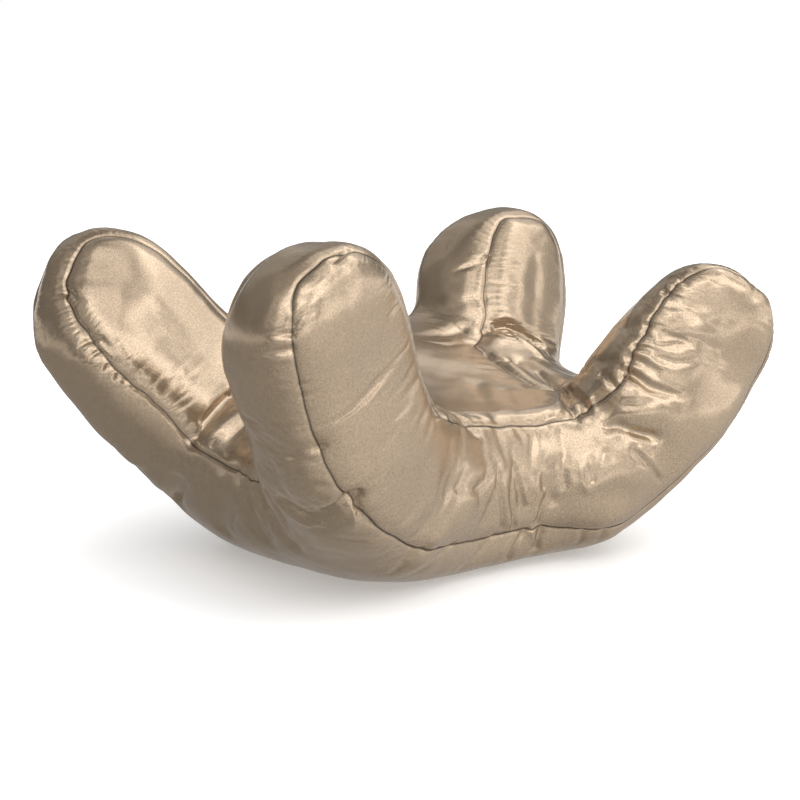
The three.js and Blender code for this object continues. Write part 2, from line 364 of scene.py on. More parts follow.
# Folds
# The larger folds of the cover, each along a few points on it. A negative height is a trough, a positive one
# is a roll beside it, and reach is its half width.
FOLDS = [
    # rear right arm: the trough above its root, the roll below that, and a soft fold across its hollow side
    {"height": -5, "reach": 7, "along": [[113, 58, 122], [127, 53, 117], [141, 45, 109]]},
    {"height": 3.5, "reach": 9, "along": [[104, 46, 110], [120, 42, 107], [133, 34, 103]]},
    {"height": -2.5, "reach": 8, "along": [[55, 69, 116], [89, 62, 117]]},
    # rear left arm: the trough above its root and the roll below that
    {"height": -5, "reach": 7, "along": [[-148, 36, 88], [-135, 33, 101], [-119, 34, 112]]},
    {"height": 3.5, "reach": 8, "along": [[-149, 23, 80], [-136, 20, 92], [-120, 19, 101]]},
    # front left arm: two folds across its long edge
    {"height": -3, "reach": 7, "along": [[-176, -130, 114], [-182, -119, 107], [-177, -89, 95]]},
    {"height": -4, "reach": 7, "along": [[-150, -128, 81], [-153, -97, 63], [-164, -84, 71]]},
    # front right arm: two puckers, the fold of its root, and the trough where the head's pad ends at it
    {"height": -3.5, "reach": 7, "along": [[81, -98, 121], [107, -120, 107]]},
    {"height": -2.5, "reach": 6, "along": [[98, -97, 145], [114, -112, 140]]},
    {"height": -3, "reach": 7, "along": [[59, -109, 91], [74, -116, 89], [91, -121, 82]]},
    {"height": -4, "reach": 8, "along": [[100, 20, 103], [95, -22, 97], [56, -80, 100]]},
    # front panel: its middle stands out as a roll, with two pleats at its lower seam
    {
        "height": 9, "reach": 17,
        "along": [[-46, -104, 61], [-14, -98, 56], [14, -97, 54], [45, -101, 54], [76, -112, 59]],
    },
    {"height": -3, "reach": 7, "along": [[-4, -95, 69], [4, -85, 48], [15, -73, 28]]},
    {"height": -3, "reach": 7, "along": [[28, -92, 58], [31, -85, 42], [36, -75, 26]]},
    # left end: three gathers below the notch between its arms, and the fold under the rear arm
    {"height": -3, "reach": 7, "along": [[-152, -43, 68], [-135, -46, 36]]},
    {"height": -3.5, "reach": 7, "along": [[-149, -22, 67], [-134, -16, 33]]},
    {"height": -3, "reach": 8, "along": [[-147, -5, 68], [-143, 12, 49], [-128, 34, 28]]},
    {"height": -4, "reach": 8, "along": [[-147, 54, 56], [-134, 80, 36]]},
    # right end: two gathers below its notch
    {"height": -3, "reach": 7, "along": [[152, -40, 70], [137, -44, 38]]},
    {"height": -3.5, "reach": 8, "along": [[152, 12, 70], [136, 20, 36]]},
    # rear panel: two pleats at its lower seam
    {"height": -3, "reach": 7, "along": [[-36, 100, 62], [-44, 78, 24]]},
    {"height": -3, "reach": 7, "along": [[12, 98, 58], [20, 76, 24]]},
]

height = PANEL_SWELL - SEAM_DEPTH * nearness(seam_distance, SEAM_REACH)
for fold in FOLDS:
    height += fold["height"] * nearness(distance_to_path(points, fold["along"]), fold["reach"])
points = points + normals_of(points) * height[:, None]

# Resting
# The pillow lies loose on its rounded underside, which gives under its weight. It is centred and let down, and
# what would then be below the floor is pressed flat.
SINK = 2.4
low, high = points.min(axis=0), points.max(axis=0)
points -= [(low[0] + high[0]) / 2, (low[1] + high[1]) / 2, low[2] + SINK]
points[:, 2] = np.maximum(points[:, 2], 0)

# Padding
# The packed fibre presses the cover outwards. Its panels are cut larger than their sewn edges, so the cloth
# gathers in small puckers along every seam. A cloth simulation at ten times the size finds them.
SIMULATION_SCALE = 0.01
FRAMES = 10
LARGEST_BULGE = 4
MEAN_BULGE = 0.5
EVENED_SHARE = 0.8
BULGE_STEP = 2
RESTING_HEIGHT = 0.5
# The share of the puckers that is kept: it varies over the cover, and falls off towards the flat underside.
GATHER_SPACING = 50
GATHER_MEAN = 0.3
GATHER_SPREAD = 0.9
GATHER_LIMITS = [0.05, 0.7]
GATHERED_HEIGHTS = [5, 60]
GATHERED_SHARES = [0.1, 1]


def pressed_cover(points):
    """Where the points lie once the filling presses on the cover, held at its seams and its resting face."""
    mesh = bpy.data.meshes.new("pressed")
    mesh.from_pydata(points * SIMULATION_SCALE, [], faces)
    pressed = bpy.data.objects.new("pressed", mesh)
    bpy.context.scene.collection.objects.link(pressed)
    held = pressed.vertex_groups.new(name="held")
    resting = np.flatnonzero(points[:, 2] < RESTING_HEIGHT)
    held.add(np.unique(np.concatenate([resting, *seams.values()])).tolist(), 1, "REPLACE")
    cloth = pressed.modifiers.new("cloth", "CLOTH")
    cloth.settings.quality = 3
    cloth.settings.bending_stiffness = 0.01
    cloth.settings.use_pressure = True
    cloth.settings.uniform_pressure_force = 8
    cloth.settings.shrink_min = -0.03
    cloth.settings.vertex_group_mass = "held"
    cloth.settings.effector_weights.gravity = 0
    cloth.collision_settings.use_collision = False
    cloth.collision_settings.use_self_collision = False
    cloth.point_cache.frame_start = 1
    cloth.point_cache.frame_end = FRAMES
    for number in range(1, FRAMES + 1):
        bpy.context.scene.frame_set(number)
    settled = pressed.evaluated_get(bpy.context.evaluated_depsgraph_get()).data
    moved = np.zeros(len(points) * 3)
    settled.vertices.foreach_get("co", moved)
    bpy.data.objects.remove(pressed)
    bpy.context.scene.frame_set(1)
    return moved.reshape(-1, 3) / SIMULATION_SCALE


def usual_bulge(bulge):
    """How far the cover has moved out, on average, at each point's distance from its nearest seam."""
    places = np.arange(0, seam_distance.max() + BULGE_STEP, BULGE_STEP)
    near = (seam_distance / BULGE_STEP).round().astype(int)
    means = np.bincount(near, bulge, len(places)) / np.maximum(np.bincount(near, minlength=len(places)), 1)
    return np.interp(seam_distance, places, means)


normals = normals_of(points)
moves = pressed_cover(points) - points
bulge = (moves * normals).sum(axis=1)
kept = np.clip(bulge - EVENED_SHARE * usual_bulge(bulge), -LARGEST_BULGE, LARGEST_BULGE) - MEAN_BULGE
gathered = np.clip(GATHER_MEAN + GATHER_SPREAD * soft_noise(points, GATHER_SPACING), *GATHER_LIMITS)
gathered *= np.interp(points[:, 2], GATHERED_HEIGHTS, GATHERED_SHARES)
points = points + (moves + normals * (kept - bulge)[:, None]) * gathered[:, None]
# A last subdivision makes room for the creases.
points, faces, panels, seams = subdivide(points, faces, panels, seams, 0)

# Creases
# Sharper folds that only the satin itself makes: the puckers at the seams, the pleats and the crossing folds
# at the roots of the arms. Each has its full height at its first point and the share called fade of that at
# its last one, and it is laid into the cover along the surface.
CREASE_MARGIN = 12
CREASES = [
    # rear right arm: the pucker at its seam, the crossing trough with its lip, and the junction with the pad
    {
        "height": -2, "reach": 2.2, "fade": 0.3,
        "along": [[128, 83, 170], [122, 83, 167], [115, 85, 165], [106, 91, 162]],
    },
    {"height": 1, "reach": 2.2, "fade": 0.3, "along": [[129, 85, 172], [120, 89, 172]]},
    {
        "height": -3.5, "reach": 3.4, "fade": 0.7,
        "along": [[114, 56, 125], [120, 53, 126], [130, 50, 122], [142, 47, 115], [141, 30, 108]],
    },
    {"height": -1.6, "reach": 1.8, "fade": 0.6, "along": [[104, 56, 123], [106, 49, 121], [111, 45, 121]]},
    {
        "height": 1.5, "reach": 1.5, "fade": 0.8,
        "along": [[103, 53, 121], [107, 41, 120], [114, 38, 118], [126, 47, 118], [122, 50, 122]],
    },
    {"height": 1.2, "reach": 2.4, "fade": 0.6, "along": [[121, 40, 118], [125, 31, 113], [129, 19, 105]]},
    {
        "height": -2.2, "reach": 2.2, "fade": 0.6,
        "along": [[85, 33, 111], [84, 25, 108], [91, 20, 106], [100, 19, 106]],
    },
    {"height": -1.3, "reach": 4, "fade": 0.5, "along": [[90, 64, 126], [74, 63, 123]]},
    {"height": -1.3, "reach": 3, "fade": 0.5, "along": [[86, 50, 118], [63, 45, 120], [49, 54, 122]]},
    {"height": -1, "reach": 4, "fade": 0.4, "along": [[113, 68, 144], [96, 79, 140], [90, 99, 140]]},
    # front left arm: puckers at its seam and the folds across its long edge
    {
        "height": -1.8, "reach": 2.2, "fade": 0.2,
        "along": [[-203, -147, 180], [-207, -145, 180], [-210, -142, 179]],
    },
    {
        "height": 1.2, "reach": 2.2, "fade": 0.2,
        "along": [[-204, -147, 177], [-208, -144, 176], [-212, -140, 175]],
    },
    {
        "height": -1.6, "reach": 2.6, "fade": 0.3,
        "along": [[-203, -146, 172], [-208, -144, 171], [-213, -139, 171]],
    },
    {
        "height": 1.2, "reach": 2.4, "fade": 0.3,
        "along": [[-204, -145, 168], [-209, -142, 167], [-214, -136, 166]],
    },
    {
        "height": -1.4, "reach": 2.4, "fade": 0.2,
        "along": [[-201, -147, 185], [-198, -148, 189], [-193, -151, 191]],
    },
    {
        "height": 1, "reach": 2.4, "fade": 0.2,
        "along": [[-201, -146, 189], [-197, -148, 193], [-192, -150, 195]],
    },
    {
        "height": -1.6, "reach": 1.8, "fade": 0.3,
        "along": [[-172, -132, 114], [-175, -129, 113], [-180, -127, 112]],
    },
    {
        "height": 1.8, "reach": 2.6, "fade": 0.4,
        "along": [[-177, -127, 111], [-181, -121, 107], [-179, -102, 99]],
    },
    {
        "height": -4.5, "reach": 2.6, "fade": 0.4,
        "along": [
            [-147, -128, 83], [-149, -125, 81], [-155, -119, 74],
            [-156, -104, 67], [-158, -88, 67], [-164, -79, 72],
        ],
    },
    {
        "height": 2.6, "reach": 2.8, "fade": 0.3,
        "along": [[-151, -100, 62], [-153, -90, 60], [-156, -82, 61]],
    },
    {
        "height": -2, "reach": 1.8, "fade": 0.3,
        "along": [[-145, -125, 77], [-142, -123, 70], [-130, -120, 62]],
    },
    {"height": 1.5, "reach": 2.2, "fade": 0.4, "along": [[-144, -122, 72], [-141, -117, 61]]},
    {"height": -1.4, "reach": 1.8, "fade": 0.2, "along": [[-141, -123, 71], [-135, -126, 73]]},
    {"height": -1.2, "reach": 2, "fade": 0.2, "along": [[-193, -141, 152], [-189, -143, 153]]},
    {"height": -1, "reach": 2, "fade": 0.2, "along": [[-190, -138, 145], [-183, -142, 147]]},
    {
        "height": -2.5, "reach": 2.2, "fade": 0.5,
        "along": [[-171, -140, 214], [-165, -138, 216], [-157, -133, 217]],
    },
    # rear left arm: puckers at its seam and the crisp fold at its root
    {
        "height": -1.8, "reach": 2.4, "fade": 0.2,
        "along": [[-194, 102, 172], [-198, 108, 171], [-202, 113, 170]],
    },
    {
        "height": 1.4, "reach": 2.4, "fade": 0.2,
        "along": [[-196, 99, 167], [-200, 104, 166], [-203, 110, 166]],
    },
    {
        "height": -1.2, "reach": 1.8, "fade": 0.2,
        "along": [[-193, 98, 173], [-193, 92, 169], [-191, 87, 168]],
    },
    {
        "height": -1.3, "reach": 1.8, "fade": 0.1,
        "along": [[-197, 75, 146], [-200, 76, 144], [-203, 78, 140]],
    },
    {
        "height": -1.3, "reach": 1.8, "fade": 0.1,
        "along": [[-193, 69, 140], [-197, 70, 137], [-199, 71, 134]],
    },
    {
        "height": -1.2, "reach": 1.8, "fade": 0.1,
        "along": [[-190, 63, 131], [-192, 64, 128], [-194, 65, 125]],
    },
    {"height": -1.2, "reach": 1.8, "fade": 0.1, "along": [[-185, 60, 125], [-187, 60, 122]]},
    {
        "height": -1.4, "reach": 2.4, "fade": 0.2,
        "along": [[-194, 74, 147], [-190, 70, 147], [-186, 64, 141]],
    },
    {"height": -1, "reach": 2.6, "fade": 0.2, "along": [[-181, 58, 123], [-175, 55, 127], [-170, 52, 123]]},
    {
        "height": -3, "reach": 2.6, "fade": 0.9,
        "along": [[-147, 33, 88], [-142, 32, 96], [-133, 33, 103], [-120, 36, 110]],
    },
    {"height": 1.4, "reach": 2.4, "fade": 0.6, "along": [[-146, 33, 94], [-135, 34, 104]]},
    {"height": 1.6, "reach": 2.4, "fade": 0.6, "along": [[-148, 28, 86], [-138, 24, 98], [-125, 29, 105]]},
    {"height": -1.2, "reach": 1.8, "fade": 0.2, "along": [[-146, 17, 85], [-143, 14, 90]]},
    {"height": -1.2, "reach": 1.8, "fade": 0.2, "along": [[-144, 4, 81], [-140, 0, 87], [-136, 2, 91]]},
    # front right arm: the row of puckers along its inner seam, a lens-shaped fold and the crease of its root
    {
        "height": -1.6, "reach": 2, "fade": 0.3,
        "along": [[125, -95, 176], [127, -102, 177], [126, -110, 174]],
    },
    {
        "height": 1.2, "reach": 2, "fade": 0.3,
        "along": [[120, -99, 172], [123, -104, 173], [125, -114, 169]],
    },
    {
        "height": -1.6, "reach": 2, "fade": 0.3,
        "along": [[116, -100, 168], [117, -106, 166], [119, -112, 164]],
    },
    {
        "height": -1, "reach": 4, "fade": 0.6,
        "along": [[115, -110, 161], [123, -117, 161], [130, -122, 160]],
    },
    {
        "height": -1, "reach": 4, "fade": 0.6,
        "along": [[112, -114, 151], [125, -121, 154], [135, -126, 147]],
    },
    {"height": -1.2, "reach": 1.6, "fade": 0.2, "along": [[101, -100, 148], [103, -104, 148]]},
    {"height": -1.2, "reach": 1.6, "fade": 0.2, "along": [[98, -101, 144], [100, -107, 142]]},
    {"height": -1.8, "reach": 2, "fade": 0.3, "along": [[90, -102, 136], [93, -106, 135], [96, -111, 134]]},
    {"height": 1.3, "reach": 2, "fade": 0.4, "along": [[88, -103, 133], [92, -109, 131], [99, -117, 124]]},
    {
        "height": -1.8, "reach": 2.6, "fade": 0.5,
        "along": [[86, -102, 129], [89, -109, 127], [96, -116, 122]],
    },
    {
        "height": -1.2, "reach": 3.4, "fade": 0.5,
        "along": [[102, -112, 140], [114, -117, 141], [125, -124, 139], [135, -128, 133]],
    },
    {
        "height": -1.4, "reach": 3, "fade": 0.5,
        "along": [[98, -114, 130], [108, -120, 126], [120, -124, 127]],
    },
    {
        "height": 1.5, "reach": 2.2, "fade": 0.5,
        "along": [[83, -101, 124], [86, -107, 123], [93, -115, 116], [108, -122, 109]],
    },
    {
        "height": -2.8, "reach": 3.2, "fade": 0.6,
        "along": [[83, -103, 121], [85, -109, 119], [90, -116, 113], [101, -120, 108]],
    },
    {"height": -1, "reach": 3.4, "fade": 0.5, "along": [[75, -110, 102], [80, -116, 102], [89, -120, 104]]},
    {
        "height": -2.4, "reach": 3, "fade": 0.8,
        "along": [[65, -105, 89], [70, -109, 90], [79, -116, 85], [91, -122, 81]],
    },
    {"height": -1.6, "reach": 1.6, "fade": 1, "along": [[78, -115, 86], [89, -121, 82]]},
    {
        "height": -1.6, "reach": 2.2, "fade": 0.8,
        "along": [[76, -119, 74], [83, -121, 67], [92, -121, 58], [98, -119, 52]],
    },
    {"height": 1, "reach": 2, "fade": 0.8, "along": [[80, -120, 75], [87, -122, 67], [97, -121, 57]]},
    {"height": -2.6, "reach": 2.4, "fade": 0.9, "along": [[74, -86, 120], [74, -93, 119], [75, -100, 112]]},
    {"height": -3.2, "reach": 3.4, "fade": 0.8, "along": [[78, -55, 103], [62, -83, 102], [61, -92, 97]]},
    {"height": 1.5, "reach": 2.2, "fade": 0.8, "along": [[66, -88, 103], [64, -93, 98], [58, -94, 94]]},
    # pad: the line of its right side, the fold where it meets the front arm, and soft creases
    {
        "height": -1.5, "reach": 2, "fade": 1,
        "along": [[103, 0, 101], [95, -24, 97], [56, -78, 100], [53, -90, 92]],
    },
    {"height": -2.4, "reach": 3, "fade": 0.9, "along": [[-49, -91, 111], [-37, -89, 103], [-31, -91, 96]]},
    {"height": -5.5, "reach": 3.2, "fade": 0.9, "along": [[-68, -102, 116], [-64, -101, 112]]},
    {
        "height": 1.8, "reach": 1.6, "fade": 0.6,
        "along": [[-79, -115, 114], [-62, -102, 109], [-51, -97, 104]],
    },
    {"height": -0.9, "reach": 5, "fade": 0.7, "along": [[37, -12, 104], [13, -50, 100], [-8, -84, 97]]},
    {"height": -0.7, "reach": 4, "fade": 0.7, "along": [[67, -29, 99], [35, -72, 99], [31, -85, 91]]},
    {"height": -0.7, "reach": 4, "fade": 0.7, "along": [[47, -29, 101], [20, -69, 99], [14, -85, 92]]},
    # front panel: upright pleats above its lower seam
    {
        "height": -1.4, "reach": 1.8, "fade": 0.7,
        "along": [[-11, -92, 36], [-17, -100, 55], [-20, -100, 65], [-17, -96, 77]],
    },
    {"height": 1.4, "reach": 2.6, "fade": 0.5, "along": [[-6, -92, 37], [-12, -98, 50], [-14, -100, 61]]},
    {
        "height": -2, "reach": 2.2, "fade": 0.5,
        "along": [[1, -89, 33], [-7, -97, 52], [-7, -97, 62], [-3, -95, 71]],
    },
    {"height": 1.5, "reach": 1.6, "fade": 0.5, "along": [[8, -95, 48], [3, -97, 58], [0, -96, 69]]},
    {
        "height": -1.4, "reach": 2.6, "fade": 0.4,
        "along": [[-41, -107, 65], [-32, -103, 69], [-29, -101, 73]],
    },
    {
        "height": -1.4, "reach": 2.6, "fade": 0.4,
        "along": [[-59, -110, 70], [-54, -107, 75], [-50, -105, 79]],
    },
    {"height": -1.8, "reach": 3, "fade": 0.4, "along": [[20, -98, 56], [19, -99, 62], [21, -98, 67]]},
    {"height": -1.6, "reach": 3, "fade": 0.4, "along": [[33, -102, 56], [32, -101, 64], [34, -98, 72]]},
    {"height": 1.4, "reach": 2.6, "fade": 0.4, "along": [[28, -99, 51], [28, -99, 58], [27, -99, 66]]},
    {"height": 1.4, "reach": 2.6, "fade": 0.4, "along": [[45, -108, 52], [43, -107, 60], [43, -104, 68]]},
    {"height": -1.2, "reach": 2.6, "fade": 0.4, "along": [[49, -109, 58], [49, -108, 66], [50, -106, 71]]},
    {"height": -2.4, "reach": 2.6, "fade": 0.4, "along": [[19, -92, 33], [20, -96, 43], [23, -97, 51]]},
    {"height": -0.9, "reach": 3, "fade": 0.5, "along": [[59, -110, 74], [54, -111, 64]]},
    {"height": -1, "reach": 3, "fade": 0.4, "along": [[-27, -97, 42], [-23, -99, 46], [-22, -101, 53]]},
    {"height": -1, "reach": 4, "fade": 0.3, "along": [[-45, -108, 66], [-32, -103, 68], [-25, -99, 74]]},
    {"height": -0.9, "reach": 4, "fade": 0.3, "along": [[-75, -112, 49], [-62, -111, 61], [-50, -109, 68]]},
    {"height": -0.8, "reach": 4, "fade": 0.3, "along": [[-92, -114, 56], [-79, -113, 67], [-65, -110, 76]]},
    # underside: the pleat under the front panel and small gathers beside it
    {"height": -2.6, "reach": 2.6, "fade": 0.9, "along": [[24, -89, 27], [23, -88, 20], [24, -86, 13]]},
    {"height": 1.8, "reach": 2.6, "fade": 0.5, "along": [[17, -88, 27], [20, -88, 20]]},
    {"height": -2, "reach": 2.2, "fade": 1, "along": [[11, -87, 27], [5, -86, 18], [4, -82, 9]]},
    {"height": -1.4, "reach": 2.4, "fade": 0.5, "along": [[51, -98, 24], [53, -93, 14]]},
    {"height": -1.4, "reach": 2.4, "fade": 0.5, "along": [[64, -103, 23], [66, -97, 14]]},
    {"height": -1.2, "reach": 3, "fade": 0.5, "along": [[-14, -88, 30], [-24, -86, 21], [-34, -84, 11]]},
    {"height": -1.2, "reach": 3, "fade": 0.5, "along": [[-53, -96, 33], [-67, -98, 28], [-75, -93, 18]]},
    {"height": -1.2, "reach": 3, "fade": 0.5, "along": [[-81, -105, 37], [-91, -100, 30], [-92, -88, 19]]},
    # left end: gathers that hang from the notch between its arms
    {
        "height": -2.2, "reach": 2.6, "fade": 0.5,
        "along": [[-147, -20, 70], [-145, -17, 55], [-137, -8, 36]],
    },
    {
        "height": -2.2, "reach": 2.6, "fade": 0.5,
        "along": [[-151, -37, 72], [-149, -39, 58], [-137, -29, 38]],
    },
    {"height": -1.8, "reach": 2.6, "fade": 0.5, "along": [[-144, -10, 71], [-147, -8, 56], [-132, 18, 31]]},
    {
        "height": 1.4, "reach": 2.6, "fade": 0.5,
        "along": [[-148, -26, 69], [-148, -30, 56], [-135, -14, 35]],
    },
    {"height": -1.8, "reach": 3, "fade": 0.5, "along": [[-165, -67, 76], [-155, -64, 59], [-134, -51, 36]]},
    {"height": -3, "reach": 3, "fade": 0.2, "along": [[-131, 84, 36], [-146, 53, 54]]},
    {"height": -1, "reach": 4, "fade": 0.4, "along": [[-146, 9, 72], [-145, 23, 52], [-132, 50, 30]]},
]


def crease_height(points, normals, crease):
    """How far one crease moves each point along its normal."""
    path = np.array(crease["along"], float)
    lengths = np.linalg.norm(np.diff(path, axis=0), axis=1)
    low, high = path.min(axis=0) - CREASE_MARGIN, path.max(axis=0) + CREASE_MARGIN
    near = ((points > low) & (points < high)).all(axis=1)
    some, outwards = points[near], normals[near]
    least = np.full(len(some), np.inf)
    strength = np.zeros(len(some))
    for start, end, before, length in zip(path, path[1:], np.cumsum(lengths) - lengths, lengths):
        share = np.clip((some - start) @ (end - start) / length**2, 0, 1)
        away = some - start - share[:, None] * (end - start)
        through = (away * outwards).sum(axis=1)
        across = np.sqrt(np.maximum((away**2).sum(axis=1) - through**2, 0))
        faded = 1 + (crease["fade"] - 1) * (before + share * length) / lengths.sum()
        closer = across < least
        least[closer] = across[closer]
        strength[closer] = (faded * nearness(through, CREASE_MARGIN))[closer]
    height = np.zeros(len(points))
    height[near] = crease["height"] * strength * nearness(least, crease["reach"])
    return height


normals = normals_of(points)
points = points + normals * sum(crease_height(points, normals, crease) for crease in CREASES)[:, None]

# Fine relief
# At each seam the satin dips sharply to the stitches that hold it. Between the seams the loose fibre lies
# unevenly behind it and leaves soft dents of several sizes.
GROOVE_DEPTH = 0.9
GROOVE_REACH = 1.4
DENT_COLUMNS = ["spacing", "depth"]
DENTS = [[34, 0.9], [17, 0.45], [9, 0.15]]
seam_points = np.concatenate(list(seams.values()))
seam_distance, _ = nearest_seam(points)
height = -GROOVE_DEPTH * nearness(seam_distance, GROOVE_REACH)
for values in DENTS:
    dent = dict(zip(DENT_COLUMNS, values))
    height += dent["depth"] * soft_noise(points, dent["spacing"])
points = points + normals_of(points) * height[:, None]
points[:, 2] = np.maximum(points[:, 2], 0)

# Cover
# The sewn satin cover as one closed mesh in metres. Its map follows the threads of each panel: along the
# length of the panel first, then across it.
MM = 0.001
# How far the painted shade in a seam's gap reaches, in millimetres.
SEAM_SHADE_REACH = 1.1
TURN_WIDTH = 40
STRIP_LEVEL = 90
TOP_LEVEL = 100
cover_mesh = bpy.data.meshes.new("cover")
cover_mesh.from_pydata(points * MM, [], faces)
cover_mesh.shade_smooth()
cover = bpy.data.objects.new("cover", cover_mesh)
bpy.context.scene.collection.objects.link(cover)
# A panel that bends up at both ends is laid flat: on each side of its middle its height adds to its length.
x, y, z = points[faces].transpose(2, 0, 1)
turn_x, turn_y = np.tanh(x / TURN_WIDTH), np.tanh(y / TURN_WIDTH)
PANEL_MAPS = {
    "front": (x, z),
    "rear": (x, z),
    "left": (y + turn_y * (z - STRIP_LEVEL), x),
    "right": (y + turn_y * (z - STRIP_LEVEL), x),
    "top": (x + turn_x * (z - TOP_LEVEL), y),
    "under": (x + turn_x * z, y),
}
flat_places = np.zeros((len(faces), 4, 2))
for name, flat in PANEL_MAPS.items():
    flat_places[panels == name] = np.stack(flat, axis=2)[panels == name] * MM
cover_mesh.uv_layers.new(name="threads").data.foreach_set("uv", flat_places.ravel())
# The attribute seam carries the painted shade of the seams. It is 1 on a seam and fades within about a
# millimetre, and the satin's colour is darkened by it.
seam_shade = cover_mesh.attributes.new("seam", "FLOAT", "POINT")
seam_shade.data.foreach_set("value", nearness(seam_distance, SEAM_SHADE_REACH))


def linear(hex_colour):
    """A colour from its sRGB hex digits, as the linear values that Blender works with."""
    channels = [int(hex_colour[i : i + 2], 16) / 255 for i in (0, 2, 4)]
    return tuple(c / 12.92 if c <= 0.04045 else ((c + 0.055) / 1.055) ** 2.4 for c in channels) + (1,)


def add_node(tree, kind, settings=None, **links):
    """Adds a node with settings on its properties or sockets, and links its inputs from other sockets."""
    node = tree.nodes.new(kind)
    for name, value in (settings or {}).items():
        if name in node.inputs:
            node.inputs[name].default_value = value
        else:
            setattr(node, name, value)
    for name, source in links.items():
        tree.links.new(source, node.inputs[name.replace("_", " ")])
    return node


# Satin: a polyester weave whose smooth threads float side by side, so it mirrors more than plain polyester. It
# shines like soft metal in broad patches with clear edges, and stays even and dull elsewhere.
satin = bpy.data.materials.new("champagne satin")
satin.use_nodes = True
tree = satin.node_tree
surface = tree.nodes["Principled BSDF"]
surface.inputs["Metallic"].default_value = 0.75
surface.inputs["Roughness"].default_value = 0.26
surface.inputs["IOR"].default_value = 2.2
surface.inputs["Anisotropic"].default_value = 0.3
tangent = add_node(tree, "ShaderNodeTangent", {"direction_type": "UV_MAP", "uv_map": "threads"})
tree.links.new(tangent.outputs["Tangent"], surface.inputs["Tangent"])
# The threads lie 0.1 mm apart, too fine to show here, so their grain is drawn about 1 mm wide.
GRAINS_PER_MM = 0.95
coordinates = add_node(tree, "ShaderNodeTexCoord")
grain_sizes = {"Scale": GRAINS_PER_MM / MM, "Detail": 1}
grain = add_node(tree, "ShaderNodeTexNoise", grain_sizes, Vector=coordinates.outputs["Object"])
champagne = add_node(tree, "ShaderNodeValToRGB", Fac=grain.outputs["Fac"])
dark_thread, light_thread = champagne.color_ramp.elements
dark_thread.position = 0.3
dark_thread.color = linear("A8947B")
light_thread.position = 0.7
light_thread.color = linear("BEA88E")
weave = add_node(tree, "ShaderNodeBump", {"Strength": 0.25, "Distance": 0.0001}, Height=grain.outputs["Fac"])
tree.links.new(weave.outputs["Normal"], surface.inputs["Normal"])
# Painted shade: near a seam the satin's colour is darkened to dark brown. This stands in for the shade in the
# gap between two sewn edges.
seam = add_node(tree, "ShaderNodeAttribute", {"attribute_name": "seam"})
painted_gap_shade = add_node(tree, "ShaderNodeMapRange", {"From Min": 0.4, "To Max": 0.8}, Value=seam.outputs["Fac"])
shaded = add_node(tree, "ShaderNodeMix", {"data_type": "RGBA"})
tree.links.new(painted_gap_shade.outputs["Result"], shaded.inputs["Factor"])
tree.links.new(champagne.outputs["Color"], shaded.inputs[6])
# The colour of the painted shade in a seam's gap.
shaded.inputs[7].default_value = linear("3A2C1E")
tree.links.new(shaded.outputs[2], surface.inputs["Base Color"])
cover_mesh.materials.append(satin)
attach(cover, "root")
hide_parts("pillow")

# Stitches
# Every seam is sewn with dark brown polyester thread at 14 stitches to the inch. Between the panels each
# stitch shows as a short bit of thread across the gap.
STITCH_SIZES = {"Stitch spacing": 1.8, "Stitch length": 1.1, "Thread width": 0.6}
THREAD_LIFT = 0.2
line_mesh = bpy.data.meshes.new("stitches")
order = np.arange(len(seam_points))
seam_ends = np.cumsum([len(seam) for seam in seams.values()])
following = np.concatenate([np.roll(part, -1) for part in np.split(order, seam_ends[:-1])])
on_cover = points + normals_of(points) * THREAD_LIFT
line_mesh.from_pydata(on_cover[seam_points] * MM, np.stack([order, following], axis=1), [])
line = bpy.data.objects.new("seam line", line_mesh)
bpy.context.scene.collection.objects.link(line)
# Spun polyester thread: dull, because its short fibres stand out from it.
thread = bpy.data.materials.new("brown polyester thread")
thread.use_nodes = True
surface = thread.node_tree.nodes["Principled BSDF"]
surface.inputs["Base Color"].default_value = linear("2A1C10")
surface.inputs["Roughness"].default_value = 0.6

tree = bpy.data.node_groups.new("sewing", "GeometryNodeTree")
tree.interface.new_socket("Seam line", in_out="INPUT", socket_type="NodeSocketGeometry")
size_inputs = {}
for name in STITCH_SIZES:
    socket = tree.interface.new_socket(name, in_out="INPUT", socket_type="NodeSocketFloat")
    size_inputs[name] = socket.identifier
finish = tree.interface.new_socket("Thread", in_out="INPUT", socket_type="NodeSocketMaterial").identifier
tree.interface.new_socket("Stitches", in_out="OUTPUT", socket_type="NodeSocketGeometry")
given = add_node(tree, "NodeGroupInput").outputs
path = add_node(tree, "GeometryNodeMeshToCurve", Mesh=given["Seam line"])
places = add_node(tree, "GeometryNodeCurveToPoints", {"mode": "LENGTH"}, Curve=path.outputs["Curve"])
tree.links.new(given["Stitch spacing"], places.inputs["Length"])
along = add_node(tree, "FunctionNodeAlignRotationToVector", {"axis": "Z"}, Vector=places.outputs["Tangent"])
bead = add_node(tree, "GeometryNodeMeshUVSphere", {"Segments": 6, "Rings": 4, "Radius": 0.5})
width = given["Thread width"]
size = add_node(tree, "ShaderNodeCombineXYZ", X=width, Y=width, Z=given["Stitch length"])
uneven = {"data_type": "FLOAT_VECTOR", "Min": (0.8, 0.8, 0.7), "Max": (1.1, 1.1, 1.1), "Seed": 5}
share = add_node(tree, "FunctionNodeRandomValue", uneven)
scale = add_node(tree, "ShaderNodeVectorMath", {"operation": "MULTIPLY"})
tree.links.new(size.outputs["Vector"], scale.inputs[0])
tree.links.new(share.outputs["Value"], scale.inputs[1])
sewn = add_node(tree, "GeometryNodeInstanceOnPoints", Instance=bead.outputs["Mesh"])
tree.links.new(places.outputs["Points"], sewn.inputs["Points"])
tree.links.new(along.outputs["Rotation"], sewn.inputs["Rotation"])
tree.links.new(scale.outputs["Vector"], sewn.inputs["Scale"])
realized = add_node(tree, "GeometryNodeRealizeInstances", Geometry=sewn.outputs["Instances"])
